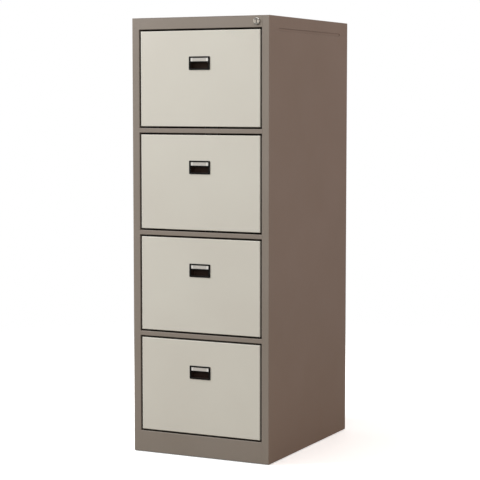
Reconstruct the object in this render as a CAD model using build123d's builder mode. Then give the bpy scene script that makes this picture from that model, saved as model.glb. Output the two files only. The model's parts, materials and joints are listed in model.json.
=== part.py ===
"""Four-drawer steel filing cabinet, built from folded sheet.

The frame is X to the right, Y to the back and Z up, in millimetres. The origin lies on the
floor, in the middle of the cabinet's box. Drawer 1 is the top one.
"""

import os
from math import cos, pi, sin

from build123d import *

# Case
case_width = 460.0
case_depth = 590.0
drawer_count = 4
opening_height = 296.5
rail_height = 14.0
header_height = 35.0
plinth_height = 67.0
stile_width = 24.0
floor_gap = 2.0
sheet = 0.9
top_sheet = 1.2
top_chamfer = 0.4
bend = 1.5
lip_depth = 16.0
top_skirt = 30.0
back_flange = 15.0
base_rise = 10.0
base_flange = 20.0

# Bead pressed into each side, just below the foot of the header
side_bead_drop = 40.0
side_bead_height = 9.0
side_bead_depth = 1.2
side_bead_margin = 65.0

# Clearances
face_gap = 5.4
running_gap = 0.3
fit_gap = 0.1
spindle_gap = 0.06

# Uprights that carry the slides
upright_wall = 1.2
upright_width = 40.0
upright_foot = 12.0
upright_inset = 50.0

# Levelling feet
foot_radius = 15.0
foot_pad = 6.0
foot_stud_radius = 4.0
foot_stud_top = 24.0
foot_nut_flats = 13.0
foot_nut_height = 6.5
foot_inset = 32.0

# Drawer front and tray
front_depth = 22.0
front_bend = 2.0
front_lip = 12.0
tray_setback = 10.6
tray_height = 250.0
tray_floor_gap = 10.0
liner_flange = 12.0
liner_headroom = 6.0
rail_wall = 1.2
rail_leg = 10.0

# Moulded handle with its card pocket
handle_width = 70.4
handle_height = 40.0
handle_drop = 76.8
handle_proud = 1.6
handle_chamfer = 0.5
handle_depth = 20.5
handle_corner = 2.0
handle_wall = 2.0
mouth_width = 60.0
mouth_height = 18.0
mouth_sill = 4.6
bridge_depth = 3.0
window_width = 59.0
window_height = 10.5
window_drop = 4.2
pocket_depth = 1.0
card_thickness = 0.4
card_margin = 0.2

# Three-part ball slides
slide_front_space = 2.0
slide_rear_space = 16.5
slide_height = 45.7
slide_thickness = 12.7
slide_setback = 0.9
slide_level = 70.0
member_wall = 1.2
outer_flange = 10.2
outer_lip = 2.0
middle_reach = 1.7
ball_diameter = 3.2
ball_pitch = 75.0
cage_wall = 0.5
cage_window = 3.6
slide_stop = 10.0
cage_margin = 7.5

# Lock
lock_inset = 41.0
lock_proud = 3.0
lock_chamfer = 1.0
lock_flange_radius = 10.5
lock_body_radius = 8.5
lock_body_length = 24.0
lock_nut_flats = 22.0
lock_nut_thickness = 3.0
plug_radius = 5.5
plug_recess = 0.5
keyway_height = 8.4
keyway_width = 2.4
keyway_depth = 12.0
tang_width = 6.0
tang_length = 4.0
cam_radius = 6.5
cam_lift = 6.0
cam_overrun = 10.0

# Lock bar and what it catches
bar_thickness = 2.5
plate_thickness = 2.0
bar_front_space = 4.0
bar_width = 16.0
bar_arm_height = 3.0
bar_tail = 15.0
hook_height = 9.0
hook_reach = 6.5
hook_below = 1.5
catch_level = 150.0
catch_height = 10.0
catch_wall = 1.5
catch_foot = 20.0
catch_reach = 10.2
catch_gap = 1.0
guide_wall = 2.0
guide_height = 20.0
guide_reach = 8.0
guide_count = 3

# Planes and places worked out from the sizes above
case_height = header_height + plinth_height
case_height += drawer_count * opening_height + (drawer_count - 1) * rail_height
half_width = case_width / 2
front_y = -(case_depth - lock_proud) / 2
back_y = front_y + case_depth
wall_x = half_width - sheet
opening_x = half_width - stile_width
ceiling_z = case_height - top_sheet
slide_x = opening_x + slide_setback
tray_x = slide_x - slide_thickness
front_rear_y = front_y + front_depth
front_width = 2 * (opening_x - face_gap)
front_height = opening_height - 2 * face_gap
bar_y = front_rear_y + bar_front_space
plate_y = bar_y + bar_thickness + fit_gap
slide_y = plate_y + plate_thickness + slide_front_space
slide_rear_y = back_y - sheet - slide_rear_space
slide_length = slide_rear_y - slide_y
drawer_travel = slide_length - slide_stop
tray_rear_y = slide_rear_y - tray_setback
lock_x = half_width - lock_inset
lock_z = case_height - header_height / 2
drawers = range(1, drawer_count + 1)


def sill_z(number):
    """Height of the foot of a drawer's opening."""
    pitch = opening_height + rail_height
    return case_height - header_height - opening_height - (number - 1) * pitch


def tray_z(number):
    """Height of the underside of a drawer's tray."""
    return sill_z(number) + tray_floor_gap


def slide_z(number):
    """Height of the middle of a drawer's slides."""
    return tray_z(number) + slide_level


def upright_plane(y):
    """Plane facing the front at a depth y. A negative extrusion runs to the back."""
    return Plane.XZ.offset(-y)


def folded_sheet(points, thickness, side, radius=0.0):
    """Section of a folded sheet, whose outer surface follows the points.

    A sheet that is hidden inside the case is drawn with sharp folds, at a radius of 0.
    """
    with BuildLine() as section:
        if radius:
            FilletPolyline(*points, radius=radius)
        else:
            Polyline(*points)
        offset(amount=thickness, kind=Kind.INTERSECTION, side=side)
    make_face(section.edges())


def finish(builder, name):
    """Label a piece and write its file."""
    builder.part.label = name
    export_step(builder.part, f"parts/{name}.step")


os.makedirs("parts", exist_ok=True)

# Side panels, each one sheet folded round into the front stile
with BuildPart() as side_panel_right:
    with BuildSketch(Plane.XY.offset(floor_gap)):
        outline = [
            (opening_x, front_y + lip_depth),
            (opening_x, front_y),
            (half_width, front_y),
            (half_width, back_y),
        ]
        folded_sheet(outline, sheet, Side.LEFT, bend)
    extrude(amount=ceiling_z - floor_gap)
    bead_length = case_depth - 2 * side_bead_margin
    with BuildSketch(Plane.YZ.offset(wall_x)):
        with Locations((front_y + case_depth / 2, case_height - side_bead_drop)):
            SlotOverall(bead_length + 2 * sheet, side_bead_height + 2 * sheet)
    extrude(amount=-side_bead_depth)
    with BuildSketch(Plane.YZ.offset(half_width)):
        with Locations((front_y + case_depth / 2, case_height - side_bead_drop)):
            SlotOverall(bead_length, side_bead_height)
    extrude(amount=-side_bead_depth, mode=Mode.SUBTRACT)
finish(side_panel_right, "side_panel_right")

with BuildPart() as side_panel_left:
    mirror(side_panel_right.part, about=Plane.YZ)
finish(side_panel_left, "side_panel_left")

# Back, top, header, rails and plinth
with BuildPart() as back_panel:
    with BuildSketch(Plane.XY.offset(floor_gap)):
        outline = [
            (-wall_x, back_y - back_flange),
            (-wall_x, back_y),
            (wall_x, back_y),
            (wall_x, back_y - back_flange),
        ]
        folded_sheet(outline, sheet, Side.RIGHT, bend)
    extrude(amount=ceiling_z - floor_gap)
finish(back_panel, "back_panel")

with BuildPart() as top_panel:
    with BuildSketch(Plane.XY.offset(ceiling_z)):
        with Locations((0, front_y + case_depth / 2)):
            RectangleRounded(case_width, case_depth, bend)
    extrude(amount=top_sheet)
    chamfer(top_panel.edges().group_by(Axis.Z)[-1], length=top_chamfer)
    with BuildSketch(upright_plane(front_y + lip_depth + fit_gap)):
        with Locations((wall_x - sheet / 2, ceiling_z), (sheet / 2 - wall_x, ceiling_z)):
            Rectangle(sheet, top_skirt, align=(Align.CENTER, Align.MAX))
    skirt_length = case_depth - back_flange - lip_depth - 2 * fit_gap
    extrude(amount=-skirt_length)
finish(top_panel, "top_panel")

with BuildPart() as header_rail:
    with BuildSketch(Plane.YZ):
        header_foot = case_height - header_height
        outline = [
            (front_y + lip_depth, header_foot),
            (front_y, header_foot),
            (front_y, ceiling_z),
            (front_y + lip_depth, ceiling_z),
        ]
        folded_sheet(outline, sheet, Side.RIGHT, bend)
    extrude(amount=opening_x, both=True)
    with BuildSketch(upright_plane(front_y)):
        with Locations((lock_x, lock_z)):
            Circle(lock_body_radius + fit_gap)
    extrude(amount=-sheet, mode=Mode.SUBTRACT)
finish(header_rail, "header_rail")

with BuildPart() as cross_rails:
    for number in drawers[:-1]:
        with BuildSketch(Plane.YZ):
            rail_top = sill_z(number)
            outline = [
                (front_y + lip_depth, rail_top - rail_height),
                (front_y, rail_top - rail_height),
                (front_y, rail_top),
                (front_y + lip_depth, rail_top),
            ]
            folded_sheet(outline, sheet, Side.RIGHT, bend)
        extrude(amount=opening_x, both=True)
finish(cross_rails, "cross_rails")

with BuildPart() as plinth_rail:
    with BuildSketch(Plane.YZ):
        outline = [
            (front_y + lip_depth, floor_gap),
            (front_y, floor_gap),
            (front_y, plinth_height),
            (front_y + lip_depth, plinth_height),
        ]
        folded_sheet(outline, sheet, Side.RIGHT, bend)
    extrude(amount=opening_x, both=True)
finish(plinth_rail, "plinth_rail")

# Base pan, notched round the stiles, with a hole for each levelling foot
pan_front = front_y + sheet
pan_notch = front_y + lip_depth + fit_gap
pan_back = back_y - back_flange - fit_gap
foot_places = [
    (x, y)
    for x in (foot_inset - half_width, half_width - foot_inset)
    for y in (front_y + lip_depth + foot_inset, back_y - back_flange - foot_inset)
]

with BuildPart() as base_pan:
    with BuildSketch(Plane.XY.offset(base_rise)):
        with BuildLine():
            Polyline(
                (opening_x, pan_front),
                (opening_x, pan_notch),
                (wall_x, pan_notch),
                (wall_x, pan_back),
                (-wall_x, pan_back),
                (-wall_x, pan_notch),
                (-opening_x, pan_notch),
                (-opening_x, pan_front),
                close=True,
            )
        make_face()
    extrude(amount=base_flange)
    offset(amount=-sheet, openings=base_pan.faces().sort_by(Axis.Z)[-1])
    with BuildSketch(Plane.XY.offset(base_rise)):
        with Locations(*foot_places):
            Circle(foot_stud_radius + fit_gap)
    extrude(amount=sheet, mode=Mode.SUBTRACT)
finish(base_pan, "base_pan")

with BuildPart() as levelling_feet:
    with BuildSketch(Plane.XY):
        with Locations(*foot_places):
            Circle(foot_radius)
    extrude(amount=foot_pad)
    with BuildSketch(Plane.XY.offset(foot_pad)):
        with Locations(*foot_places):
            RegularPolygon(foot_nut_flats / 2, 6, major_radius=False)
    extrude(amount=base_rise - foot_pad)
    with BuildSketch(Plane.XY.offset(base_rise)):
        with Locations(*foot_places):
            Circle(foot_stud_radius)
    extrude(amount=foot_stud_top - base_rise)
    with BuildSketch(Plane.XY.offset(base_rise + sheet)):
        with Locations(*foot_places):
            RegularPolygon(foot_nut_flats / 2, 6, major_radius=False)
    extrude(amount=foot_nut_height)
finish(levelling_feet, "levelling_feet")

# Hat-section uprights between the base pan and the beads of the sides
upright_floor = base_rise + base_flange + fit_gap
bead_foot = case_height - side_bead_drop - side_bead_height / 2 - sheet
upright_ceiling = bead_foot - fit_gap
upright_places = [
    slide_y + upright_inset,
    slide_y + slide_length - upright_inset - upright_width,
]

with BuildPart() as slide_uprights:
    for start in upright_places:
        with BuildSketch(Plane.XY.offset(upright_floor)):
            outline = [
                (wall_x, start - upright_foot),
                (wall_x, start),
                (slide_x + upright_wall, start),
                (slide_x + upright_wall, start + upright_width),
                (wall_x, start + upright_width),
                (wall_x, start + upright_width + upright_foot),
            ]
            folded_sheet(outline, upright_wall, Side.LEFT)
        extrude(amount=upright_ceiling - upright_floor)
    mirror(about=Plane.YZ)
finish(slide_uprights, "slide_uprights")

# Lock barrel, its nut, the plug and the spiral cam on the plug's tang
cam_y = plate_y
plug_front = front_y - lock_proud + plug_recess

with BuildPart() as lock_barrel:
    with BuildSketch(upright_plane(front_y - lock_proud)):
        with Locations((lock_x, lock_z)):
            Circle(lock_flange_radius)
    extrude(amount=-lock_proud)
    chamfer(lock_barrel.edges().group_by(Axis.Y)[0], length=lock_chamfer)
    with BuildSketch(upright_plane(front_y)):
        with Locations((lock_x, lock_z)):
            Circle(lock_body_radius)
    extrude(amount=-lock_body_length)
    with BuildSketch(upright_plane(front_y - lock_proud)):
        with Locations((lock_x, lock_z)):
            Circle(plug_radius + spindle_gap)
    extrude(amount=-lock_proud - lock_body_length, mode=Mode.SUBTRACT)
finish(lock_barrel, "lock_barrel")

with BuildPart() as lock_nut:
    with BuildSketch(upright_plane(front_y + sheet)):
        with Locations((lock_x, lock_z)):
            RegularPolygon(lock_nut_flats / 2, 6, major_radius=False)
            Circle(lock_body_radius, mode=Mode.SUBTRACT)
    extrude(amount=-lock_nut_thickness)
finish(lock_nut, "lock_nut")

with BuildPart() as lock_plug:
    with BuildSketch(upright_plane(plug_front)):
        with Locations((lock_x, lock_z)):
            Circle(plug_radius)
    extrude(amount=plug_front - cam_y)
    with BuildSketch(upright_plane(cam_y)):
        with Locations((lock_x, lock_z)):
            Rectangle(tang_width, tang_width)
    extrude(amount=-tang_length)
    with BuildSketch(upright_plane(plug_front)):
        with Locations((lock_x, lock_z)):
            Rectangle(keyway_width, keyway_height)
    extrude(amount=-keyway_depth, mode=Mode.SUBTRACT)
finish(lock_plug, "lock_plug")

# The cam's radius grows by the same amount for each degree of turn, so the bar rises evenly
cam_arcs = 3


def cam_point(arcs):
    """Point on the spiral, this many arcs on from straight above the axis."""
    turn = pi / 2 * arcs / cam_arcs
    radius = cam_radius + cam_lift * arcs / cam_arcs
    return (-radius * sin(turn), radius * cos(turn))


with BuildPart() as lock_cam:
    with BuildSketch(upright_plane(cam_y)):
        with Locations((lock_x, lock_z)):
            Circle(cam_radius)
            with BuildSketch(mode=Mode.PRIVATE) as lobe:
                with BuildLine():
                    for arc in range(cam_arcs):
                        ThreePointArc(*[cam_point(arc + part) for part in (0, 0.5, 1)])
                    crest = CenterArc((0, 0), cam_radius + cam_lift, 180, cam_overrun)
                    Polyline(crest @ 1, (0, 0), (0, cam_radius))
                make_face()
            add(lobe.sketch)
            Rectangle(tang_width, tang_width, mode=Mode.SUBTRACT)
    extrude(amount=-plate_thickness)
finish(lock_cam, "lock_cam")

# Lock bar: a strip with plates riveted to its back, one over the cam and one hook a drawer
bar_outer = wall_x - guide_wall - running_gap
bar_inner = bar_outer - bar_width


def catch_z(number):
    """Height of the foot of a drawer's catch."""
    return tray_z(number) + catch_level


with BuildPart() as lock_bar:
    arm_foot = lock_z + cam_radius + running_gap
    bar_top = arm_foot + bar_arm_height
    bar_foot = catch_z(drawer_count) - hook_below - hook_height - bar_tail
    with BuildSketch(upright_plane(bar_y)):
        with Locations((bar_inner, bar_foot)):
            Rectangle(bar_width, bar_top - bar_foot, align=Align.MIN)
    extrude(amount=-bar_thickness)
    with BuildSketch(upright_plane(plate_y)):
        with Locations((bar_outer, arm_foot)):
            Rectangle(bar_outer - lock_x, bar_arm_height, align=(Align.MAX, Align.MIN))
        hook_length = bar_outer - opening_x + hook_reach
        for number in drawers:
            with Locations((bar_outer, catch_z(number) - hook_below)):
                Rectangle(hook_length, hook_height, align=Align.MAX)
    extrude(amount=-plate_thickness)
finish(lock_bar, "lock_bar")

with BuildPart() as bar_guides:
    for number in drawers[:guide_count]:
        with BuildSketch(Plane.XY.offset(sill_z(number) - rail_height)):
            with Locations((wall_x, bar_y + bar_thickness / 2)):
                Rectangle(
                    guide_wall + running_gap + guide_reach,
                    bar_thickness + 2 * running_gap + 2 * guide_wall,
                    align=(Align.MAX, Align.CENTER),
                )
            with Locations((wall_x - guide_wall, bar_y + bar_thickness / 2)):
                Rectangle(
                    running_gap + guide_reach,
                    bar_thickness + 2 * running_gap,
                    align=(Align.MAX, Align.CENTER),
                    mode=Mode.SUBTRACT,
                )
        extrude(amount=guide_height)
finish(bar_guides, "bar_guides")

# Drawers, each with its front, tray, file rails, handle and card
handle_middle_drop = handle_drop + handle_height / 2
mouth_foot = mouth_sill - handle_height / 2
window_middle = handle_height / 2 - window_drop - window_height / 2
tray_inner_x = tray_x - sheet
catch_y = plate_y + plate_thickness + catch_gap

for number in drawers:
    sill = sill_z(number)
    front_foot = sill + face_gap
    front_top = front_foot + front_height
    handle_z = front_top - handle_middle_drop
    tray_foot = tray_z(number)
    tray_top = tray_foot + tray_height

    with BuildPart() as drawer_front:
        with BuildSketch(upright_plane(front_y)):
            with Locations((0, front_foot + front_height / 2)):
                Rectangle(front_width, front_height)
        extrude(amount=-front_depth)
        fillet(drawer_front.edges().group_by(Axis.Y)[0], radius=front_bend)
        with BuildSketch(upright_plane(front_y + sheet)):
            with Locations((0, front_foot + front_height / 2)):
                Rectangle(front_width - 2 * sheet, front_height - 2 * sheet)
        extrude(amount=2 * sheet - front_depth, mode=Mode.SUBTRACT)
        with BuildSketch(upright_plane(front_rear_y - sheet)):
            with Locations((0, front_foot + front_height / 2)):
                Rectangle(front_width - 2 * front_lip, front_height - 2 * front_lip)
        extrude(amount=-sheet, mode=Mode.SUBTRACT)
        with BuildSketch(upright_plane(front_y)):
            with Locations((0, handle_z)):
                cup_width = mouth_width + 2 * handle_wall
                cup_height = handle_height - 2 * handle_wall
                Rectangle(cup_width + 2 * fit_gap, cup_height + 2 * fit_gap)
        extrude(amount=-sheet, mode=Mode.SUBTRACT)
    finish(drawer_front, f"drawer_front_{number}")

    with BuildPart() as front_liner:
        with BuildSketch(Plane.YZ):
            outline = [
                (front_rear_y + liner_flange, tray_foot + bend),
                (front_rear_y, tray_foot + bend),
                (front_rear_y, front_top - liner_headroom),
                (front_rear_y + liner_flange, front_top - liner_headroom),
            ]
            folded_sheet(outline, sheet, Side.RIGHT)
        extrude(amount=tray_inner_x, both=True)
    finish(front_liner, f"front_liner_{number}")

    with BuildPart() as drawer_tray:
        with BuildSketch(upright_plane(front_rear_y)):
            outline = [
                (-tray_x, tray_top),
                (-tray_x, tray_foot),
                (tray_x, tray_foot),
                (tray_x, tray_top),
            ]
            folded_sheet(outline, sheet, Side.LEFT, bend)
        extrude(amount=front_rear_y - tray_rear_y)
        with BuildSketch(upright_plane(tray_rear_y - sheet)):
            with Locations((0, tray_foot + sheet / 2)):
                wall_height = tray_height - sheet / 2
                Rectangle(2 * tray_inner_x, wall_height, align=(Align.CENTER, Align.MIN))
        extrude(amount=-sheet)
        with BuildSketch(Plane.XY.offset(catch_z(number))):
            with Locations((tray_x + fit_gap, catch_y)):
                Rectangle(catch_wall, catch_foot, align=Align.MIN)
                Rectangle(catch_reach, catch_wall, align=Align.MIN)
        extrude(amount=catch_height)
    finish(drawer_tray, f"drawer_tray_{number}")

    with BuildPart() as hanging_rails:
        rail_start = front_rear_y + liner_flange + fit_gap
        rail_end = tray_rear_y - sheet - fit_gap
        with BuildSketch(upright_plane(rail_start)):
            outline = [
                (tray_inner_x - rail_wall, tray_top - rail_leg),
                (tray_inner_x - rail_wall, tray_top + rail_wall),
                (tray_x + rail_wall, tray_top + rail_wall),
                (tray_x + rail_wall, tray_top - rail_leg),
            ]
            folded_sheet(outline, rail_wall, Side.RIGHT)
        extrude(amount=rail_start - rail_end)
        mirror(about=Plane.YZ)
    finish(hanging_rails, f"hanging_rails_{number}")

    with BuildPart() as handle:
        with BuildSketch(upright_plane(front_y - handle_proud)):
            with Locations((0, handle_z)):
                RectangleRounded(handle_width, handle_height, handle_corner)
        extrude(amount=-handle_proud)
        chamfer(handle.edges().group_by(Axis.Y)[0], length=handle_chamfer)
        with BuildSketch(upright_plane(front_y)):
            with Locations((0, handle_z)):
                Rectangle(cup_width, cup_height)
        extrude(amount=-handle_depth)
        with BuildSketch(upright_plane(front_y - handle_proud)):
            with Locations((0, handle_z + mouth_foot)):
                Rectangle(mouth_width, mouth_height, align=(Align.CENTER, Align.MIN))
        mouth_depth = handle_proud + handle_depth - handle_wall
        extrude(amount=-mouth_depth, mode=Mode.SUBTRACT)
        with BuildSketch(upright_plane(front_y + bridge_depth)):
            with Locations((0, handle_z + mouth_foot)):
                hollow_height = cup_height / 2 - handle_wall - mouth_foot
                Rectangle(mouth_width, hollow_height, align=(Align.CENTER, Align.MIN))
        extrude(amount=bridge_depth + handle_wall - handle_depth, mode=Mode.SUBTRACT)
        with BuildSketch(upright_plane(front_y - handle_proud)):
            with Locations((0, handle_z + window_middle)):
                Rectangle(window_width, window_height)
        extrude(amount=-pocket_depth, mode=Mode.SUBTRACT)
    finish(handle, f"handle_{number}")

    with BuildPart() as label_card:
        with BuildSketch(upright_plane(front_y - handle_proud + pocket_depth)):
            with Locations((0, handle_z + window_middle)):
                Rectangle(window_width - 2 * card_margin, window_height - 2 * card_margin)
        extrude(amount=card_thickness)
    finish(label_card, f"label_card_{number}")

# Slides, from the upright to the tray: the outer, middle and inner members, with a ball cage
# in each of the two gaps. Webs are measured from the upright, half heights from the slide's
# middle. Each piece is drawn on the right and mirrored to the left.
cage_space = running_gap + cage_wall + running_gap
outer_cage_web = member_wall + running_gap
middle_web = member_wall + cage_space
inner_cage_web = middle_web + member_wall + running_gap
inner_start = middle_web + member_wall + cage_space
middle_end = slide_thickness - middle_reach
outer_half = slide_height / 2
middle_half = outer_half - member_wall - ball_diameter
inner_half = middle_half - member_wall - ball_diameter
cage_rise = (ball_diameter + cage_wall) / 2

# A cage runs half as far as the member that it follows, so it starts a quarter travel in
cage_start = slide_y + drawer_travel / 4 + cage_margin
cage_end = slide_rear_y - drawer_travel / 4 - cage_margin


def slide_channel(web, end, half, wall, level):
    """Section of a channel that lies on its side, round the level of a slide."""
    outline = [
        (slide_x - end, level + half),
        (slide_x - web, level + half),
        (slide_x - web, level - half),
        (slide_x - end, level - half),
    ]
    folded_sheet(outline, wall, Side.RIGHT)


def cut_ball_windows(web, end, half, level):
    """Cut a row of windows through both strips of a cage."""
    count = int((cage_end - cage_start) // ball_pitch)
    with Locations((slide_x - (web + cage_wall + end) / 2, (cage_start + cage_end) / 2, level)):
        with GridLocations(0, ball_pitch, 1, count):
            Box(cage_window, cage_window, 2 * (half + cage_wall), mode=Mode.SUBTRACT)


for number in drawers:
    level = slide_z(number)

    with BuildPart() as slide_outer:
        with BuildSketch(upright_plane(slide_y)):
            outline = [
                (slide_x - outer_flange, level + outer_half - outer_lip),
                (slide_x - outer_flange, level + outer_half),
                (slide_x, level + outer_half),
                (slide_x, level - outer_half),
                (slide_x - outer_flange, level - outer_half),
                (slide_x - outer_flange, level - outer_half + outer_lip),
            ]
            folded_sheet(outline, member_wall, Side.RIGHT)
        extrude(amount=-slide_length)
        mirror(about=Plane.YZ)
    finish(slide_outer, f"slide_outer_{number}")

    with BuildPart() as slide_middle:
        with BuildSketch(upright_plane(slide_y)):
            slide_channel(middle_web, middle_end, middle_half, member_wall, level)
        extrude(amount=-slide_length)
        mirror(about=Plane.YZ)
    finish(slide_middle, f"slide_middle_{number}")

    with BuildPart() as slide_inner:
        with BuildSketch(upright_plane(slide_y)):
            outline = [
                (slide_x - inner_start, level + inner_half),
                (slide_x - slide_thickness, level + inner_half),
                (slide_x - slide_thickness, level - inner_half),
                (slide_x - inner_start, level - inner_half),
            ]
            folded_sheet(outline, member_wall, Side.LEFT)
        extrude(amount=-slide_length)
        mirror(about=Plane.YZ)
    finish(slide_inner, f"slide_inner_{number}")

    with BuildPart() as cage_outer:
        with BuildSketch(upright_plane(cage_start)):
            end = outer_flange - member_wall - running_gap
            half = middle_half + cage_rise
            slide_channel(outer_cage_web, end, half, cage_wall, level)
        extrude(amount=cage_start - cage_end)
        cut_ball_windows(outer_cage_web, end, half, level)
        mirror(about=Plane.YZ)
    finish(cage_outer, f"cage_outer_{number}")

    with BuildPart() as cage_inner:
        with BuildSketch(upright_plane(cage_start)):
            end = slide_thickness - member_wall - 2 * running_gap
            half = inner_half + cage_rise
            slide_channel(inner_cage_web, end, half, cage_wall, level)
        extrude(amount=cage_start - cage_end)
        cut_ball_windows(inner_cage_web, end, half, level)
        mirror(about=Plane.YZ)
    finish(cage_inner, f"cage_inner_{number}")
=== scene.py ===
"""Dresses the four-drawer filing cabinet: its finishes, its small hardware, and the studio.

Places and sizes come from the frame, in metres. X is to the right, Y to the back and Z up.
"""

import json
import math

import bmesh
import bpy
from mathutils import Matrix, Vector


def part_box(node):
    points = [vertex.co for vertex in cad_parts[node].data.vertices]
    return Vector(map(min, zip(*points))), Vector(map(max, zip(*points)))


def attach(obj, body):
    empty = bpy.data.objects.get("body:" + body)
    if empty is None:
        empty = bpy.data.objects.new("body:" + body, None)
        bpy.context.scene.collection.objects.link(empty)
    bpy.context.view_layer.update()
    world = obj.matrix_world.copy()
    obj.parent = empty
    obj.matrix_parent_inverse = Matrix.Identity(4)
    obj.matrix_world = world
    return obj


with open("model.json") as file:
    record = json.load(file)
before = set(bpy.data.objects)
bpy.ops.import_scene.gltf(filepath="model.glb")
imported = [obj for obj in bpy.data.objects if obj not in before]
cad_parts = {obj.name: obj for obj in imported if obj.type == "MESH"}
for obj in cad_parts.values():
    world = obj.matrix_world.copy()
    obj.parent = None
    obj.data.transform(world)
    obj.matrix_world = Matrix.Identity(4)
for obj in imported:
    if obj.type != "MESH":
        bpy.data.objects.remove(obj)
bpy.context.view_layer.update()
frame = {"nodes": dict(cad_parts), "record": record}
nodes = frame["nodes"]

MM = 0.001
drawers = [n for n in range(1, 10) if f"drawer_front_{n}" in nodes]


def linear(hex_colour):
    """Linear RGBA of an sRGB hex colour."""
    channels = [int(hex_colour[i:i + 2], 16) / 255 for i in (1, 3, 5)]
    return (*[c / 12.92 if c <= 0.04045 else ((c + 0.055) / 1.055) ** 2.4 for c in channels], 1)


def add(tree, kind, inputs=None, **settings):
    """Add a node to a tree, with its settings, and values or links into its inputs."""
    node = tree.nodes.new(kind)
    for name, value in settings.items():
        setattr(node, name, value)
    for socket, value in (inputs or {}).items():
        if isinstance(value, bpy.types.NodeSocket):
            tree.links.new(value, node.inputs[socket])
        else:
            node.inputs[socket].default_value = value
    return node


def per_metre(millimetres):
    """Scale of a pattern whose features are this far apart."""
    return 1 / (millimetres * MM)


# A Mix node's colour sockets share their names with its other ones, so they go by their place
MIX_FIRST, MIX_SECOND, MIX_RESULT = 6, 7, 2

# Most values of a noise lie in this span, which is spread over the range that a finish asks for
noise_span = {"From Min": 0.3, "From Max": 0.7}


# Finishes

def new_finish(name, colour, roughness, metallic=0.0, **sockets):
    """A material with its shader, and the object's coordinates to lay patterns on."""
    material = bpy.data.materials.new(name)
    material.use_nodes = True
    tree = material.node_tree
    tree.nodes.clear()
    inputs = {"Base Color": linear(colour), "Roughness": roughness, "Metallic": metallic}
    inputs.update({socket.replace("_", " "): value for socket, value in sockets.items()})
    shader = add(tree, "ShaderNodeBsdfPrincipled", inputs)
    add(tree, "ShaderNodeOutputMaterial", {"Surface": shader.outputs["BSDF"]})
    place = add(tree, "ShaderNodeTexCoord").outputs["Object"]
    return material, tree, shader, place


def uneven(tree, place, millimetres, detail=2.0, stretch=(1, 1, 1)):
    """Pattern whose features are this many millimetres across, longer where stretch is under 1."""
    spread = add(tree, "ShaderNodeMapping", {"Vector": place, "Scale": stretch})
    return add(tree, "ShaderNodeTexNoise", {
        "Vector": spread.outputs["Vector"], "Scale": per_metre(millimetres), "Detail": detail,
    }).outputs["Fac"]


def clouded(tree, pattern, dark, light):
    """A colour that goes from dark to light with an uneven pattern."""
    share = add(tree, "ShaderNodeMapRange", {"Value": pattern, **noise_span})
    mix = add(tree, "ShaderNodeMix", {
        "Factor": share.outputs["Result"], MIX_FIRST: linear(dark), MIX_SECOND: linear(light),
    }, data_type="RGBA")
    return mix.outputs[MIX_RESULT]


def uneven_gloss(tree, shader, pattern, smooth, rough):
    """Let the shader's roughness go from smooth to rough with an uneven pattern."""
    gloss = add(tree, "ShaderNodeMapRange", {
        "Value": pattern, **noise_span, "To Min": smooth, "To Max": rough,
    })
    tree.links.new(gloss.outputs["Result"], shader.inputs["Roughness"])


def relief(tree, shader, height, depth_mm, edge_mm=0.5):
    """Lay a relief of this depth on the shader's surface, and soften its edges."""
    edge = add(tree, "ShaderNodeBevel", {"Radius": edge_mm * MM}, samples=4)
    bump = add(tree, "ShaderNodeBump", {
        "Height": height, "Distance": depth_mm * MM, "Normal": edge.outputs["Normal"],
    })
    tree.links.new(bump.outputs["Normal"], shader.inputs["Normal"])


def painted_shade_in_gaps(tree, colour, reach_mm=8.0, least=0.1):
    """A colour with painted shade: it darkens in gaps and corners, where little light gets in.

    Its least share is kept where 90 % of the directions are shut within reach, and all of it
    where 15 % are.
    """
    free = add(tree, "ShaderNodeAmbientOcclusion", {"Distance": reach_mm * MM}, samples=8)
    share = add(tree, "ShaderNodeMapRange", {
        "Value": free.outputs["AO"], "From Min": 0.1, "From Max": 0.85, "To Min": least,
    })
    mix = add(tree, "ShaderNodeMix", {
        "Factor": 1.0, MIX_FIRST: colour, MIX_SECOND: share.outputs["Result"],
    }, data_type="RGBA", blend_type="MULTIPLY")
    return mix.outputs[MIX_RESULT]


def enamel(name, dark, light, roughness):
    """Stoved enamel, sprayed on sheet steel: a satin skin with a fine orange peel.

    The peel's real bumps are 1 mm apart, and are drawn 3 mm apart so that they show.
    """
    material, tree, shader, place = new_finish(name, light, roughness)
    colour = clouded(tree, uneven(tree, place, millimetres=260, detail=3.0), dark, light)
    # Painted shade: the enamel's colour darkens in gaps and corners
    tree.links.new(painted_shade_in_gaps(tree, colour), shader.inputs["Base Color"])
    spray = uneven(tree, place, millimetres=90, detail=4.0)
    uneven_gloss(tree, shader, spray, roughness - 0.02, roughness + 0.02)
    relief(tree, shader, uneven(tree, place, millimetres=3.0), depth_mm=0.02)
    return material


def zinc(name, dark, light, roughness):
    """Zinc-plated rolled steel: grey metal with a faint grain along the roll, and cloudy spangle."""
    material, tree, shader, place = new_finish(name, light, roughness, metallic=1.0)
    spangle = uneven(tree, place, millimetres=14, detail=4.0, stretch=(1, 0.4, 1))
    # Painted shade: the plate's colour darkens in gaps and corners
    colour = painted_shade_in_gaps(tree, clouded(tree, spangle, dark, light), reach_mm=5.0, least=0.35)
    tree.links.new(colour, shader.inputs["Base Color"])
    grain = uneven(tree, place, millimetres=0.8, stretch=(1, 0.03, 1))
    uneven_gloss(tree, shader, grain, roughness - 0.08, roughness + 0.08)
    relief(tree, shader, grain, depth_mm=0.01, edge_mm=0.3)
    return material


def polished_metal(name, colour, roughness):
    """Bright polished metal, with the faint haze that handling leaves."""
    material, tree, shader, place = new_finish(name, colour, roughness, metallic=1.0)
    haze = uneven(tree, place, millimetres=5, detail=3.0)
    uneven_gloss(tree, shader, haze, roughness, roughness + 0.06)
    return material


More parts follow.
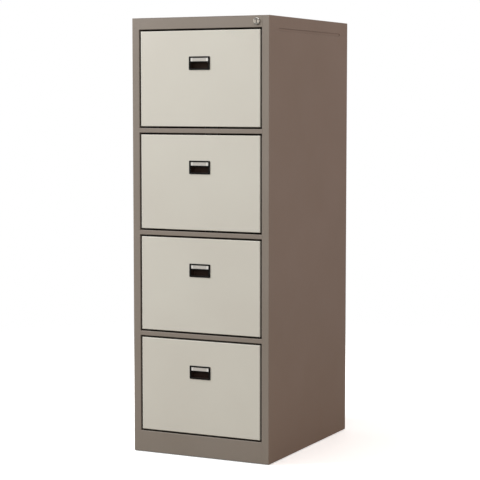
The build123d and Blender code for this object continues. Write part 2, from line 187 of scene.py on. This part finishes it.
def crowned_chrome(name, dark, light, roughness, face, crown_mm):
    """Chrome plate over a face that is crowned by this much, with a fine turned grain.

    The plate has painted shade where the plug is recessed and in the keyway.
    """
    material, tree, shader, place = new_finish(name, light, roughness, metallic=1.0)
    low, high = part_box(face)
    middle = (low + high) / 2
    from_axis = add(tree, "ShaderNodeVectorMath", {
        0: place, 1: (middle.x, 0, middle.z),
    }, operation="SUBTRACT")
    flat = add(tree, "ShaderNodeVectorMath", {
        0: from_axis.outputs["Vector"], 1: (1, 0, 1),
    }, operation="MULTIPLY")
    radius = add(tree, "ShaderNodeVectorMath", {0: flat.outputs["Vector"]}, operation="LENGTH")
    reach = add(tree, "ShaderNodeMapRange", {
        "Value": radius.outputs["Value"], "From Max": (high.x - low.x) / 2,
    })
    fall = add(tree, "ShaderNodeMath", {0: reach.outputs["Result"], 1: 2.0}, operation="POWER")
    height = add(tree, "ShaderNodeMath", {0: 1.0, 1: fall.outputs["Value"]}, operation="SUBTRACT")
    turned_grain = add(tree, "ShaderNodeTexNoise", {
        "W": radius.outputs["Value"], "Scale": per_metre(0.6), "Detail": 1.0,
    }, noise_dimensions="1D").outputs["Fac"]
    uneven_gloss(tree, shader, turned_grain, roughness, roughness + 0.08)
    cloud = clouded(tree, uneven(tree, place, millimetres=5, detail=3.0), dark, light)
    # Painted shade in the plug's recess and in the keyway
    tree.links.new(painted_shade_in_gaps(tree, cloud, reach_mm=2.0), shader.inputs["Base Color"])
    relief(tree, shader, height.outputs["Value"], crown_mm, edge_mm=0.3)
    return material


def moulded_abs(name, face_dark, face_light, painted_lit_recess_dark, painted_lit_recess_light, roughness, face):
    """Black moulded ABS: its face is dark and even, its recess spark-textured and browner with
    painted light.

    The texture's real grain is 0.3 mm, and is drawn at 0.8 mm so that it shows. The face turns
    into the recess between 1.8 and 5 mm behind its front. The recess is coloured lighter than
    the face as painted light, for the light that it catches.
    """
    material, tree, shader, place = new_finish(
        name, face_light, roughness, IOR=1.5, Specular_IOR_Level=0.15)
    grain = uneven(tree, place, millimetres=0.8)
    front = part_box(face)[0].y
    parts = add(tree, "ShaderNodeSeparateXYZ", {"Vector": place})
    depth = add(tree, "ShaderNodeMapRange", {
        "Value": parts.outputs["Y"], "From Min": front + 1.8 * MM, "From Max": front + 5 * MM,
    })
    # Painted light: the recess is coloured lighter and browner than the face
    mix = add(tree, "ShaderNodeMix", {
        "Factor": depth.outputs["Result"],
        MIX_FIRST: clouded(tree, grain, face_dark, face_light),
        MIX_SECOND: clouded(tree, grain, painted_lit_recess_dark, painted_lit_recess_light),
    }, data_type="RGBA")
    tree.links.new(mix.outputs[MIX_RESULT], shader.inputs["Base Color"])
    uneven_gloss(tree, shader, grain, roughness - 0.05, roughness + 0.05)
    relief(tree, shader, grain, depth_mm=0.03, edge_mm=0.6)
    return material


def index_card(name, dark, light, painted_highlight_colour, end_mm):
    """Uncoated index card: matt, with short fibres that run along it, and a painted highlight at each
    end.

    The paler band at each end is a painted highlight.
    """
    material, tree, shader, place = new_finish(name, light, 0.85)
    fibres = uneven(tree, place, millimetres=0.9, detail=3.0, stretch=(0.25, 1, 1))
    parts = add(tree, "ShaderNodeSeparateXYZ", {"Vector": place})
    out = add(tree, "ShaderNodeMath", {0: parts.outputs["X"]}, operation="ABSOLUTE")
    # Painted highlight: the card is paler from here out to its edge, on both sides
    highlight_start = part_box("label_card_1")[1].x - end_mm * MM
    highlit_ends = add(tree, "ShaderNodeMapRange", {
        "Value": out.outputs["Value"], "From Min": highlight_start - MM, "From Max": highlight_start,
    })
    mix = add(tree, "ShaderNodeMix", {
        "Factor": highlit_ends.outputs["Result"], MIX_FIRST: clouded(tree, fibres, dark, light),
        MIX_SECOND: linear(painted_highlight_colour),
    }, data_type="RGBA")
    tree.links.new(mix.outputs[MIX_RESULT], shader.inputs["Base Color"])
    relief(tree, shader, fibres, depth_mm=0.02)
    return material


def clear_acetate(name):
    """Clear acetate film over the card: all that shows of it is its gloss."""
    material, tree, shader, place = new_finish(name, "#ffffff", 0.06, IOR=1.49, Alpha=0.08)
    relief(tree, shader, uneven(tree, place, millimetres=12, detail=1.0), depth_mm=0.02)
    return material


case_enamel = enamel("grey_brown_stoved_enamel", "#877b6f", "#8b7f74", 0.42)
cream_enamel = enamel("cream_stoved_enamel", "#cfc8bb", "#d3cdc0", 0.4)
zinc_plate = zinc("zinc_plated_steel", "#a9acae", "#c3c6c8", 0.34)
cage_steel = zinc("pressed_cage_steel", "#8f8d84", "#a8a69c", 0.4)
chrome = crowned_chrome("chrome_plate", "#a9a6a1", "#bbb8b3", 0.14,
                        face="lock_barrel", crown_mm=0.5)
ball_steel = polished_metal("polished_ball_steel", "#c8c9cc", 0.1)
black_abs = moulded_abs("black_moulded_abs", "#080605", "#0d0a08", "#37271f", "#41322c",
                        roughness=0.6, face="handle_1")
card_stock = index_card("index_card_stock", "#b6aea3", "#bfb7ac", "#dcd7ce", end_mm=6.0)
acetate = clear_acetate("clear_acetate")

finish_of = {
    "case_paint": case_enamel,
    "front_paint": cream_enamel,
    "tray_paint": case_enamel,
    "zinc_steel": zinc_plate,
    "cage_steel": cage_steel,
    "lock_chrome": chrome,
    "handle_plastic": black_abs,
    "card": card_stock,
    "foot_steel": zinc_plate,
}

for part in frame["record"]["subparts"]:
    for slot in nodes[part["node"]].material_slots:
        slot.material = finish_of[part["material_slot"]]


# Small hardware, in rows

def row_tree():
    """Tree that sets a row of copies of a part from each point it is given."""
    tree = bpy.data.node_groups.new("hardware_rows", "GeometryNodeTree")
    sockets = {
        "Starts": "NodeSocketGeometry", "Part": "NodeSocketObject", "Count": "NodeSocketInt",
        "Step": "NodeSocketVector", "Finish": "NodeSocketMaterial",
    }
    for name, kind in sockets.items():
        tree.interface.new_socket(name, in_out="INPUT", socket_type=kind)
    tree.interface.new_socket("Hardware", in_out="OUTPUT", socket_type="NodeSocketGeometry")
    given = add(tree, "NodeGroupInput").outputs
    row = add(tree, "GeometryNodeMeshLine", {
        "Count": given["Count"], "Offset": given["Step"],
    }, mode="OFFSET", count_mode="TOTAL")
    rows = add(tree, "GeometryNodeInstanceOnPoints", {
        "Points": given["Starts"], "Instance": row.outputs["Mesh"],
    })
    spots = add(tree, "GeometryNodeRealizeInstances", {"Geometry": rows.outputs["Instances"]})
    part = add(tree, "GeometryNodeObjectInfo", {"Object": given["Part"]})
    copies = add(tree, "GeometryNodeInstanceOnPoints", {
        "Points": spots.outputs["Geometry"], "Instance": part.outputs["Geometry"],
    })
    real = add(tree, "GeometryNodeRealizeInstances", {"Geometry": copies.outputs["Instances"]})
    done = add(tree, "GeometryNodeSetMaterial", {
        "Geometry": real.outputs["Geometry"], "Material": given["Finish"],
    })
    add(tree, "NodeGroupOutput", {"Hardware": done.outputs["Geometry"]})
    return tree


hardware_rows = row_tree()


def new_piece(name, mesh, body, finish=None):
    """A piece of the object that rides on a body."""
    piece = bpy.data.objects.new(name, mesh)
    bpy.context.scene.collection.objects.link(piece)
    if finish:
        mesh.materials.clear()
        mesh.materials.append(finish)
    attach(piece, body)
    return piece


def rows_of(name, body, starts, part, finish, count=1, step=(0, 0, 0)):
    """A row of copies of a part from each start, as one plain mesh."""
    points = bpy.data.meshes.new(name)
    points.from_pydata([tuple(start) for start in starts], [], [])
    carrier = bpy.data.objects.new(name + "_rows", points)
    bpy.context.scene.collection.objects.link(carrier)
    modifier = carrier.modifiers.new("rows", "NODES")
    modifier.node_group = hardware_rows
    values = {"Part": part, "Count": count, "Step": tuple(step), "Finish": finish}
    for item in hardware_rows.interface.items_tree:
        if item.in_out == "INPUT" and item.name in values:
            modifier[item.identifier] = values[item.name]
    graph = bpy.context.evaluated_depsgraph_get()
    mesh = bpy.data.meshes.new_from_object(carrier.evaluated_get(graph))
    mesh.name = name
    bpy.data.objects.remove(carrier)
    return new_piece(name, mesh, body)


def pattern_part(name, shape, axis=(0, 0, 1), recess=None):
    """A part to be copied, turned from its own Z onto an axis, and not shown itself."""
    turn = Vector((0, 0, 1)).rotation_difference(Vector(axis)).to_matrix().to_4x4()
    made = []
    for solid in (shape, recess):
        if solid:
            bmesh.ops.transform(solid, matrix=turn, verts=solid.verts)
            mesh = bpy.data.meshes.new(name)
            solid.to_mesh(mesh)
            solid.free()
            made.append(bpy.data.objects.new(name, mesh))
            bpy.context.scene.collection.objects.link(made[-1])
    part = made[0]
    if recess:
        modifier = part.modifiers.new("recess", "BOOLEAN")
        modifier.object = made[1]
        graph = bpy.context.evaluated_depsgraph_get()
        part.data = bpy.data.meshes.new_from_object(part.evaluated_get(graph))
        part.modifiers.clear()
        bpy.data.objects.remove(made[1])
    part.data.shade_smooth()
    part.data.set_sharp_from_angle(angle=math.radians(40))
    pattern_parts.append(part)
    return part


def lofted(rings):
    """A closed skin through rings of points, foot first, with a cap at each end."""
    shape = bmesh.new()
    loops = [[shape.verts.new(point) for point in ring] for ring in rings]
    for low, high in zip(loops, loops[1:]):
        for i in range(len(low)):
            j = (i + 1) % len(low)
            shape.faces.new((low[i], low[j], high[j], high[i]))
    shape.faces.new(reversed(loops[0]))
    shape.faces.new(loops[-1])
    shape.normal_update()
    return shape


def rounded(width, height, radius, level, steps=4):
    """Ring round a rectangle with rounded corners, at a height."""
    points = []
    for corner in range(4):
        side_x = (1, -1, -1, 1)[corner] * (width / 2 - radius)
        side_y = (1, 1, -1, -1)[corner] * (height / 2 - radius)
        for step in range(steps + 1):
            turn = math.pi / 2 * (corner + step / steps)
            points.append((side_x + radius * math.cos(turn), side_y + radius * math.sin(turn), level))
    return points


def turned(profile, steps=20):
    """A solid turned about Z from a profile of (radius, height) pairs, foot first, in metres."""
    turns = [2 * math.pi * step / steps for step in range(steps)]
    return lofted([[(radius * math.cos(turn), radius * math.sin(turn), height) for turn in turns]
                   for radius, height in profile])


def crown(radius, foot, height, rings=5):
    """Profile of a domed head, from its rim up to just short of its middle."""
    turns = [math.pi / 2 * ring / (rings + 0.5) for ring in range(rings + 1)]
    return [(radius * math.cos(turn), foot + height * math.sin(turn)) for turn in turns]


def cross_recess(width, slot, foot, top, foot_share=0.55):
    """Cutter for a cross recess that narrows to a share of its width at its foot."""
    rings = []
    for level, share in ((foot, foot_share), (top, 1.0)):
        long = width / 2 * share
        short = slot / 2
        rings.append([(x, y, level) for x, y in (
            (long, -short), (long, short), (short, short), (short, long), (-short, long),
            (-short, short), (-long, short), (-long, -short), (-short, -short), (-short, -long),
            (short, -long), (short, -short),
        )])
    return lofted(rings)


def two_headed_rivet(radius, height, grip):
    """A rivet with a domed head at each end of its grip, about the grip's middle."""
    top = crown(radius, grip / 2, height)
    return turned([(r, -z) for r, z in reversed(top)] + [(radius / 2, -grip / 2)]
                  + [(radius / 2, grip / 2)] + top)


def ball(radius):
    """A bearing ball."""
    shape = bmesh.new()
    bmesh.ops.create_icosphere(shape, subdivisions=2, radius=radius)
    return shape


def levels(node, keep=lambda place: True, apart=100 * MM):
    """Spans of height that a node's points fill, each at least this far from the next."""
    spans = []
    for height in sorted(v.co.z for v in nodes[node].data.vertices if keep(v.co)):
        if spans and height - spans[-1][1] < apart:
            spans[-1][1] = height
        else:
            spans.append([height, height])
    return spans


pattern_parts = []

# Thickness of the drawers' sheet and of the slides' members, as in the CAD model
sheet = 0.9 * MM
member_wall = 1.2 * MM

# Balls in both cages of each slide, along the middle of the cages' strips
ball_radius = 1.6 * MM
ball_pitch = 75 * MM
cage_wall = 0.5 * MM
outer_strip = 7.2 * MM
inner_strip = 7.1 * MM
bearing_ball = pattern_part("bearing_ball", ball(ball_radius))


def balls_for(cage, body, strip_width):
    """The balls of a pair of cages: a row in each of the four strips."""
    low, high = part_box(cage)
    ball_x = high.x - (cage_wall + strip_width) / 2
    count = int((high.y - low.y) // ball_pitch)
    first = (low.y + high.y) / 2 - ball_pitch * (count - 1) / 2
    starts = [(side * ball_x, first, z) for side in (-1, 1)
              for z in (low.z + cage_wall / 2, high.z - cage_wall / 2)]
    rows_of(cage.replace("cage", "balls"), body, starts, bearing_ball, ball_steel,
            count, (0, ball_pitch, 0))


# Rivets that hold the inner member of each slide to the tray
tray_rivet_count = 4
tray_rivet_inset = 45 * MM
tray_grip = sheet + member_wall
tray_rivet = pattern_part(
    "tray_rivet", two_headed_rivet(radius=3.2 * MM, height=1.3 * MM, grip=tray_grip), (1, 0, 0))

# Screws through the liner into the drawer front
screw_radius = 3.6 * MM
screw_rim = 0.5 * MM
screw_inset_x = 30 * MM
screw_inset_z = 32 * MM
screw_profile = [(screw_radius, 0), (screw_radius, screw_rim)]
screw_profile += crown(screw_radius, foot=0.6 * MM, height=1.7 * MM)
front_screw = pattern_part(
    "front_screw", turned(screw_profile, steps=24), (0, 1, 0),
    cross_recess(width=4.2 * MM, slot=0.9 * MM, foot=0.9 * MM, top=3 * MM))

# Ribs pressed up in the floor of each tray
rib_count = 3
rib_pitch = 105 * MM
rib_width = 14 * MM
rib_margin = 45 * MM

# Clear cover of each label card
cover_gap = 0.05 * MM
cover_corner = 0.8 * MM
cover_thickness = 0.3 * MM


def dress_drawer(n):
    """The small hardware of a drawer and of its slides."""
    body = f"drawer_{n}"
    balls_for(f"cage_outer_{n}", f"cages_outer_{n}", outer_strip)
    balls_for(f"cage_inner_{n}", f"cages_inner_{n}", inner_strip)

    low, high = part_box(f"slide_inner_{n}")
    tray_low, tray_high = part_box(f"drawer_tray_{n}")
    step = (high.y - low.y - 2 * tray_rivet_inset) / (tray_rivet_count - 1)
    rivet_x = -tray_low.x - sheet + tray_grip / 2
    starts = [(side * rivet_x, low.y + tray_rivet_inset, (low.z + high.z) / 2)
              for side in (-1, 1)]
    rows_of(f"tray_rivets_{n}", body, starts, tray_rivet, zinc_plate,
            tray_rivet_count, (0, step, 0))

    rows_of(f"floor_ribs_{n}", body,
            [(-rib_pitch, (tray_low.y + tray_high.y) / 2, tray_low.z + sheet)],
            floor_rib, case_enamel, rib_count, (rib_pitch, 0, 0))

    low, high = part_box(f"front_liner_{n}")
    span = high.x - low.x - 2 * screw_inset_x
    starts = [(low.x + screw_inset_x, low.y + sheet, z)
              for z in (low.z + screw_inset_z, high.z - screw_inset_z)]
    rows_of(f"front_screws_{n}", body, starts, front_screw, zinc_plate,
            2, (span, 0, 0))

    low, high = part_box(f"label_card_{n}")
    rows_of(f"card_cover_{n}", body, [(0, low.y - cover_gap, (low.z + high.z) / 2)],
            card_cover, acetate)


# How far in from its rim, and how high, a rib is as it swells up, in mm
rib_swell = ((0, -0.1), (0.2, 0.1), (1.6, 0.9), (3.0, 1.25), (4.4, 1.35))
low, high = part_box("drawer_tray_1")
rib_length = high.y - low.y - 2 * rib_margin
floor_rib = pattern_part("floor_rib", lofted([
    rounded(rib_width - 2 * inset * MM, rib_length - 2 * inset * MM, rib_width / 2 - inset * MM,
            level * MM, steps=6)
    for inset, level in rib_swell
]))

# The cover's edge is chamfered over the last part of its thickness
low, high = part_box("label_card_1")
card_cover = pattern_part("card_cover", lofted([
    rounded(high.x - low.x - chamfer, high.z - low.z - chamfer, cover_corner, level)
    for chamfer, level in ((0, 0), (0, 0.7 * cover_thickness), (0.3 * MM, cover_thickness))
]), (0, -1, 0))

for n in drawers:
    dress_drawer(n)

# Rivets that hold the hooks to the lock bar. Its topmost plate is the arm over the cam
bar_low, bar_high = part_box("lock_bar")
bar_width = 16 * MM
bar_rivet_step = 8 * MM
bar_grip = bar_high.y - bar_low.y
bar_rivet = pattern_part(
    "bar_rivet", two_headed_rivet(radius=2.3 * MM, height=0.9 * MM, grip=bar_grip), (0, 1, 0))
hooks = levels("lock_bar", lambda place: place.x < bar_high.x - bar_width - MM)
starts = [(bar_high.x - (bar_width + bar_rivet_step) / 2, (bar_low.y + bar_high.y) / 2,
           (foot + top) / 2) for foot, top in hooks[:-1]]
rows_of("bar_rivets", "lock_bar", starts, bar_rivet, zinc_plate,
        2, (bar_rivet_step, 0, 0))

# Spot welds down the back, where it is held to the sides
weld_inset = 8 * MM
weld_pitch = 78 * MM
weld_foot = (3.1 * MM, -0.1 * MM)
weld_mark = pattern_part(
    "weld_mark", turned([weld_foot] + crown(3.0 * MM, foot=0, height=0.22 * MM)), (0, 1, 0))
low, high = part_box("back_panel")
weld_count = int((high.z - low.z) // weld_pitch)
first = (low.z + high.z - weld_pitch * (weld_count - 1)) / 2
rows_of("weld_marks", "case",
        [(side * (high.x - weld_inset), high.y, first) for side in (-1, 1)],
        weld_mark, case_enamel, weld_count, (0, 0, weld_pitch))


def dressed_seams():
    """Weld, ground flush and painted, in the grooves where the rails meet the stiles.

    Its section is in mm, outwards from the rail's end and back from its face.
    """
    rail_low, rail_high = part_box("header_rail")
    corner = rail_high.x
    front = rail_low.y
    section = [(-0.4, -0.01), (1.9, -0.01), (1.2, 0.3), (0.5, 0.8), (0.2, 1.6), (-0.4, 0.6)]
    seams = bmesh.new()
    for node in ("header_rail", "cross_rails", "plinth_rail"):
        for foot, top in levels(node):
            for side in (-1, 1):
                ring = [(side * (corner + x * MM), front + y * MM) for x, y in section]
                ring = ring if side > 0 else list(reversed(ring))
                seam = lofted([[(x, y, z) for x, y in ring] for z in (foot, top)])
                mesh = bpy.data.meshes.new("seam")
                seam.to_mesh(mesh)
                seam.free()
                seams.from_mesh(mesh)
                bpy.data.meshes.remove(mesh)
    mesh = bpy.data.meshes.new("dressed_seams")
    seams.to_mesh(mesh)
    seams.free()
    new_piece("dressed_seams", mesh, "case", case_enamel)


dressed_seams()

for part in pattern_parts:
    bpy.data.objects.remove(part)


# Studio

# The floor's colour in the light that it throws back, and as the camera sees it
floor_bounce = "#8a867f"
floor_seen = "#f7f6f4"
# It fades out from the first radius to the second, in metres
floor_solid = 1.3
floor_gone = 2.8
# Strength of what it adds for the camera alone, and of the surroundings' light
floor_glow = 0.38
sky_light = 0.32


def studio():
    """Pale floor that melts into white surroundings.

    The floor and the surroundings look lighter than they shine, as in a photograph whose
    background is exposed to white.
    """
    shape = bmesh.new()
    bmesh.ops.create_circle(shape, cap_ends=True, segments=64, radius=floor_gone)
    mesh = bpy.data.meshes.new("studio_floor")
    shape.to_mesh(mesh)
    shape.free()
    floor = bpy.data.objects.new("studio_floor", mesh)
    bpy.context.scene.collection.objects.link(floor)
    material, tree, shader, place = new_finish("pale_studio_floor", floor_seen, 0.9)
    mesh.materials.append(material)
    seen = add(tree, "ShaderNodeLightPath").outputs["Is Camera Ray"]
    colour = add(tree, "ShaderNodeMix", {
        "Factor": seen, MIX_FIRST: linear(floor_bounce), MIX_SECOND: linear(floor_seen),
    }, data_type="RGBA")
    tree.links.new(colour.outputs[MIX_RESULT], shader.inputs["Base Color"])
    shader.inputs["Emission Color"].default_value = (1, 1, 1, 1)
    glow = add(tree, "ShaderNodeMath", {0: seen, 1: floor_glow}, operation="MULTIPLY")
    tree.links.new(glow.outputs["Value"], shader.inputs["Emission Strength"])
    reach = add(tree, "ShaderNodeVectorMath", {0: place}, operation="LENGTH").outputs["Value"]
    solid = add(tree, "ShaderNodeMapRange", {
        "Value": reach, "From Min": floor_solid, "From Max": floor_gone,
        "To Min": 1.0, "To Max": 0.0,
    }, interpolation_type="SMOOTHSTEP")
    tree.links.new(solid.outputs["Result"], shader.inputs["Alpha"])

    world = bpy.data.worlds.new("studio")
    bpy.context.scene.world = world
    world.use_nodes = True
    tree = world.node_tree
    tree.nodes.clear()
    seen = add(tree, "ShaderNodeLightPath").outputs["Is Camera Ray"]
    strength = add(tree, "ShaderNodeMapRange", {"Value": seen, "To Min": sky_light, "To Max": 1.0})
    sky = add(tree, "ShaderNodeBackground", {
        "Color": (1, 1, 1, 1), "Strength": strength.outputs["Result"],
    })
    add(tree, "ShaderNodeOutputWorld", {"Surface": sky.outputs["Background"]})


def soft_light(name, place, aim, size, power, colour, height=None, mirrored=True):
    """A soft box that faces a point, square unless it has a height, of so many watts.

    One that isn't mirrored leaves no glare on glossy surfaces.
    """
    light = bpy.data.lights.new(name, "AREA")
    light.shape = "RECTANGLE"
    light.size = size
    light.size_y = height or size
    light.energy = power
    light.color = linear(colour)[:3]
    lamp = bpy.data.objects.new(name, light)
    lamp.location = place
    lamp.rotation_euler = (Vector(aim) - Vector(place)).to_track_quat("-Z", "Y").to_euler()
    lamp.visible_glossy = mirrored
    bpy.context.scene.collection.objects.link(lamp)


def camera():
    """The camera of the photograph, from a fit to the cabinet's edges."""
    place = Vector((2.23233, -4.53608, 1.08077))
    yaw = math.radians(26.3086)
    pitch = math.radians(4.9621)
    data = bpy.data.cameras.new("camera")
    data.sensor_width = 36
    data.lens = 120.145
    cam = bpy.data.objects.new("camera", data)
    cam.location = place
    cam.rotation_euler = (math.pi / 2 - pitch, 0, yaw)
    bpy.context.scene.collection.objects.link(cam)
    bpy.context.scene.camera = cam


studio()
soft_light("key", (-3.8, -2.2, 3.2), aim=(0, 0, 0.8), size=2.0, power=250, colour="#f4faff")
soft_light("front_fill", (2.9, -4.4, 2.0), aim=(0, 0, 0.7), size=1.5, power=44, colour="#ffffff")
soft_light("top", (0.2, -0.4, 4.4), aim=(0, 0, 0.4), size=3.4, power=100, colour="#ffffff")
soft_light("side_fill", (3.8, 0.8, 1.8), aim=(0, 0, 0.8), size=2.0, power=30, colour="#ff9c5a",
           mirrored=False)
soft_light("back_fill", (-1.2, 4.4, 1.6), aim=(0, 0, 0.7), size=2.0, power=36, colour="#ffffff",
           mirrored=False)
soft_light("lock_glint", (-1.55, -3.9, 1.5), aim=(0.19, -0.3, 1.31), size=3.0, power=6,
           colour="#fff4e6", height=0.5)
camera()
bpy.context.scene.view_settings.view_transform = "Standard"
